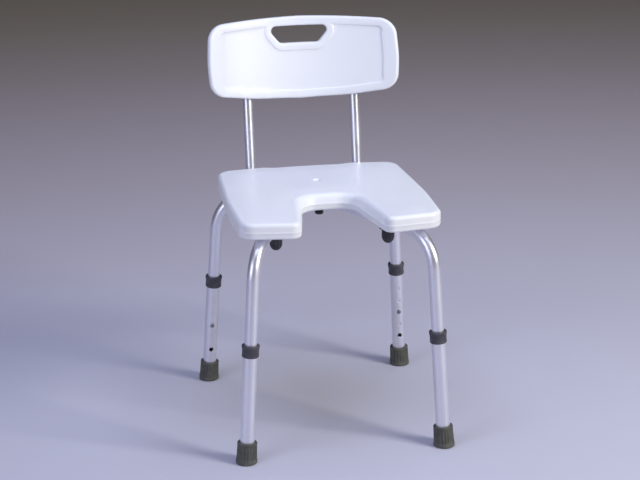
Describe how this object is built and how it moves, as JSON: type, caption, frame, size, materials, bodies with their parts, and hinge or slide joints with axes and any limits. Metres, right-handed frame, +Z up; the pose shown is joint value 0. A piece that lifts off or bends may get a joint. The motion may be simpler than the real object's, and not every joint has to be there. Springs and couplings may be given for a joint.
{
  "type": "shower chair",
  "caption": "Shower chair with a moulded seat with a front cut-out, a curved backrest with a hand slot, and splayed aluminium legs that adjust in height.",
  "frame": {"origin": "on the floor, under the centre of the chair's bounding box, midway between the legs", "axes": "+Z up, -Y the way a seated person faces, +X to a viewer's right when they look at the chair's front"},
  "size_m": [0.4228, 0.4757, 0.702],
  "materials": {
    "white_plastic": "blow-moulded white, soft satin with a fine texture",
    "anodised_aluminium": "satin clear anodised",
    "grey_plastic": "moulded dark grey, fine grain",
    "black_plastic": "moulded black, soft sheen",
    "grey_rubber": "matt ribbed rubber",
    "zinc_steel": "bright zinc plated",
    "spring_steel": "bare spring strip",
    "brass": "turned brass"
  },
  "bodies": {
    "frame": {"front_frame_tube": "anodised_aluminium", "rear_frame_tube": "anodised_aluminium", "seat_panel": "white_plastic", "centre_screw_cap": "black_plastic", "tube_saddle_left": "grey_plastic", "post_socket_left": "grey_plastic", "tube_saddle_right": "grey_plastic", "post_socket_right": "grey_plastic", "seat_insert_front_left": "brass", "knob_washer_front_left": "zinc_steel", "snap_spring_front_left": "spring_steel", "seat_insert_front_right": "brass", "knob_washer_front_right": "zinc_steel", "snap_spring_front_right": "spring_steel", "seat_insert_rear_left": "brass", "knob_washer_rear_left": "zinc_steel", "snap_spring_rear_left": "spring_steel", "seat_insert_rear_right": "brass", "knob_washer_rear_right": "zinc_steel", "snap_spring_rear_right": "spring_steel"},
    "backrest": {"backrest_panel": "white_plastic", "back_post_left": "anodised_aluminium", "post_plug_left": "grey_plastic", "backrest_screw_left_lower": "zinc_steel", "backrest_screw_left_upper": "zinc_steel", "back_post_right": "anodised_aluminium", "post_plug_right": "grey_plastic", "backrest_screw_right_lower": "zinc_steel", "backrest_screw_right_upper": "zinc_steel"},
    "foot_front_left": {"lower_leg_tube_front_left": "anodised_aluminium", "leg_collar_front_left": "grey_plastic", "leg_tip_front_left": "grey_rubber", "tip_washer_front_left": "zinc_steel"},
    "button_front_left": {"snap_button_front_left": "zinc_steel"},
    "knob_front_left": {"seat_knob_front_left": "black_plastic", "knob_stud_front_left": "zinc_steel"},
    "foot_front_right": {"lower_leg_tube_front_right": "anodised_aluminium", "leg_collar_front_right": "grey_plastic", "leg_tip_front_right": "grey_rubber", "tip_washer_front_right": "zinc_steel"},
    "button_front_right": {"snap_button_front_right": "zinc_steel"},
    "knob_front_right": {"seat_knob_front_right": "black_plastic", "knob_stud_front_right": "zinc_steel"},
    "foot_rear_left": {"lower_leg_tube_rear_left": "anodised_aluminium", "leg_collar_rear_left": "grey_plastic", "leg_tip_rear_left": "grey_rubber", "tip_washer_rear_left": "zinc_steel"},
    "button_rear_left": {"snap_button_rear_left": "zinc_steel"},
    "knob_rear_left": {"seat_knob_rear_left": "black_plastic", "knob_stud_rear_left": "zinc_steel"},
    "foot_rear_right": {"lower_leg_tube_rear_right": "anodised_aluminium", "leg_collar_rear_right": "grey_plastic", "leg_tip_rear_right": "grey_rubber", "tip_washer_rear_right": "zinc_steel"},
    "button_rear_right": {"snap_button_rear_right": "zinc_steel"},
    "knob_rear_right": {"seat_knob_rear_right": "black_plastic", "knob_stud_rear_right": "zinc_steel"},
    "post_screw_left": {"post_screw_left": "black_plastic"},
    "post_screw_right": {"post_screw_right": "black_plastic"}
  },
  "joints": [
    {"name": "backrest_lift", "type": "slide", "parent": "frame", "child": "backrest", "axis": [0, 0.2027, 0.9792], "range_m": [0, 0.09]},
    {"name": "leg_slide_front_left", "type": "slide", "parent": "frame", "child": "foot_front_left", "axis": [-0.0578, -0.0508, -0.997], "range_m": [-0.0508, 0.0508], "deforming": ["snap_button_front_left"]},
    {"name": "button_press_front_left", "type": "slide", "parent": "frame", "child": "button_front_left", "axis": [0.0029, -0.9987, 0.0508], "range_m": [0, 0.0048], "stiffness_N_per_m": 1200, "springref_m": -0.002, "deforming": ["snap_spring_front_left"]},
    {"name": "knob_turn_front_left", "type": "hinge", "parent": "frame", "child": "knob_front_left", "pos_m": [-0.102, -0.0954, 0.373], "axis": [0, 0, 1], "continuous": true},
    {"name": "leg_slide_front_right", "type": "slide", "parent": "frame", "child": "foot_front_right", "axis": [0.0578, -0.0508, -0.997], "range_m": [-0.0508, 0.0508], "deforming": ["snap_button_front_right"]},
    {"name": "button_press_front_right", "type": "slide", "parent": "frame", "child": "button_front_right", "axis": [-0.0029, -0.9987, 0.0508], "range_m": [0, 0.0048], "stiffness_N_per_m": 1200, "springref_m": -0.002, "deforming": ["snap_spring_front_right"]},
    {"name": "knob_turn_front_right", "type": "hinge", "parent": "frame", "child": "knob_front_right", "pos_m": [0.102, -0.0954, 0.373], "axis": [0, 0, 1], "continuous": true},
    {"name": "leg_slide_rear_left", "type": "slide", "parent": "frame", "child": "foot_rear_left", "axis": [-0.0578, 0.0598, -0.9965], "range_m": [-0.0508, 0.0508], "deforming": ["snap_button_rear_left"]},
    {"name": "button_press_rear_left", "type": "slide", "parent": "frame", "child": "button_rear_left", "axis": [0.0035, 0.9982, 0.0597], "range_m": [0, 0.0048], "stiffness_N_per_m": 1200, "springref_m": -0.002, "deforming": ["snap_spring_rear_left"]},
    {"name": "knob_turn_rear_left", "type": "hinge", "parent": "frame", "child": "knob_rear_left", "pos_m": [-0.103, 0.1422, 0.373], "axis": [0, 0, 1], "continuous": true},
    {"name": "leg_slide_rear_right", "type": "slide", "parent": "frame", "child": "foot_rear_right", "axis": [0.0578, 0.0598, -0.9965], "range_m": [-0.0508, 0.0508], "deforming": ["snap_button_rear_right"]},
    {"name": "button_press_rear_right", "type": "slide", "parent": "frame", "child": "button_rear_right", "axis": [-0.0035, 0.9982, 0.0597], "range_m": [0, 0.0048], "stiffness_N_per_m": 1200, "springref_m": -0.002, "deforming": ["snap_spring_rear_right"]},
    {"name": "knob_turn_rear_right", "type": "hinge", "parent": "frame", "child": "knob_rear_right", "pos_m": [0.103, 0.1422, 0.373], "axis": [0, 0, 1], "continuous": true},
    {"name": "post_screw_turn_left", "type": "hinge", "parent": "frame", "child": "post_screw_left", "pos_m": [-0.103, 0.16732, 0.394], "axis": [0, 0.9792, -0.2027], "continuous": true},
    {"name": "post_screw_turn_right", "type": "hinge", "parent": "frame", "child": "post_screw_right", "pos_m": [0.103, 0.16732, 0.394], "axis": [0, 0.9792, -0.2027], "continuous": true}
  ]
}
